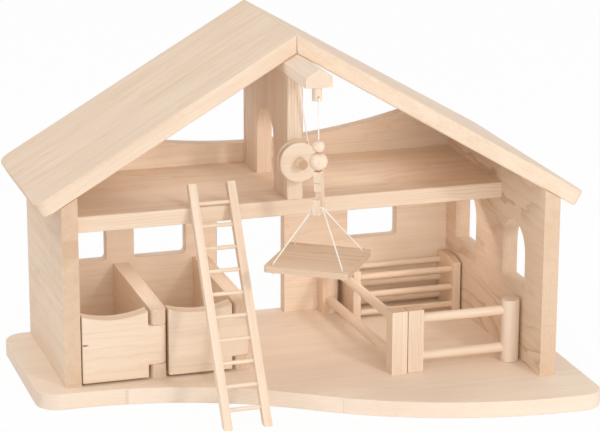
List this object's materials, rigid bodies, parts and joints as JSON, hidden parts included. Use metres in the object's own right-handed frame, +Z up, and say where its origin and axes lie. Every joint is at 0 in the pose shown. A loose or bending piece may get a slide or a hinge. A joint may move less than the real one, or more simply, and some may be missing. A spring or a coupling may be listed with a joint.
{
  "type": "toy barn with opening doors",
  "caption": "Open-fronted wooden toy barn with a hay loft, stalls with swinging doors, a paddock gate, a loose ladder and a string hoist with a hanging tray.",
  "frame": {"origin": "middle of the barn's bounding box on the underside of the base, where it rests on the table", "axes": "+X to the right along the barn's front, +Y from the open front to the back wall, +Z up"},
  "size_m": [0.653, 0.435, 0.4348],
  "materials": {
    "planed_board": "pale close-grained hardwood, planed and sanded, no varnish",
    "turned_wood": "pale turned hardwood, sanded smooth, no varnish",
    "string": "thin twisted off-white cotton string"
  },
  "bodies": {
    "root": {"base_board": "planed_board", "left_wall": "planed_board", "right_wall": "planed_board", "back_wall": "planed_board", "loft_floor": "planed_board", "centre_partition": "planed_board", "ridge_beam": "planed_board", "roof_left": "planed_board", "roof_right": "planed_board", "base_dowels": "turned_wood", "loft_dowels": "turned_wood", "hoist_peg": "turned_wood", "winch_winding": "string", "winch_string": "string", "stall_divider_left": "planed_board", "stall_divider_right": "planed_board", "left_door_pin": "turned_wood", "right_door_pin": "turned_wood", "fence_rear_post": "planed_board", "fence_front_post": "planed_board", "fence_rails": "turned_wood", "gate_pivot_pin": "turned_wood"},
    "stall_door_left": {"stall_door_left": "planed_board"},
    "stall_door_right": {"stall_door_right": "planed_board"},
    "gate": {"gate_hinge_post": "turned_wood", "gate_latch_post": "planed_board", "gate_rails": "turned_wood"},
    "winch": {"winch_knob": "turned_wood", "winch_wheel": "turned_wood", "winch_spool": "turned_wood"},
    "hoist": {"small_bead": "turned_wood", "large_bead": "turned_wood", "hook": "planed_board", "hoist_string": "string"},
    "tray": {"tray": "planed_board", "tray_strings": "string"},
    "ladder": {"ladder_left_rail": "planed_board", "ladder_right_rail": "planed_board", "ladder_rungs": "turned_wood"},
    "hay_rack": {"rack_left_side": "planed_board", "rack_right_side": "planed_board", "rack_bars": "turned_wood"}
  },
  "joints": [
    {"name": "stall_door_left_hinge", "type": "hinge", "parent": "root", "child": "stall_door_left", "pos_m": [-0.174, -0.0045, 0.02], "axis": [0, 0, 1], "range_deg": [0, 95]},
    {"name": "stall_door_right_hinge", "type": "hinge", "parent": "root", "child": "stall_door_right", "pos_m": [-0.069, -0.0045, 0.02], "axis": [0, 0, 1], "range_deg": [0, 45]},
    {"name": "gate_hinge", "type": "hinge", "parent": "root", "child": "gate", "pos_m": [0.2575, -0.074, 0.02], "axis": [0, 0, 1], "range_deg": [-90, 90]},
    {"name": "hoist_lift", "type": "slide", "parent": "root", "child": "hoist", "axis": [0, 0, 1], "range_m": [-0.145, 0.03], "deforming": ["hoist_string"]},
    {"name": "winch_turn", "type": "hinge", "parent": "root", "child": "winch", "pos_m": [0, -0.0125, 0.281], "axis": [0, 1, 0], "range_deg": [-490, 105]},
    {"name": "tray_swing", "type": "hinge", "parent": "hoist", "child": "tray", "pos_m": [0, -0.097, 0.24515], "axis": [0.8241, -0.5664, 0], "range_deg": [-5, 5]},
    {"name": "ladder_lift_off", "type": "slide", "parent": "root", "child": "ladder", "axis": [0, -1, 0], "range_m": [0, 0.2]},
    {"name": "hay_rack_slide", "type": "slide", "parent": "root", "child": "hay_rack", "axis": [0, -1, 0], "range_m": [0, 0.05]}
  ],
  "couplings": [
    {"joint": "winch_turn", "follows": "hoist_lift", "rad_per_m": 58.48}
  ]
}
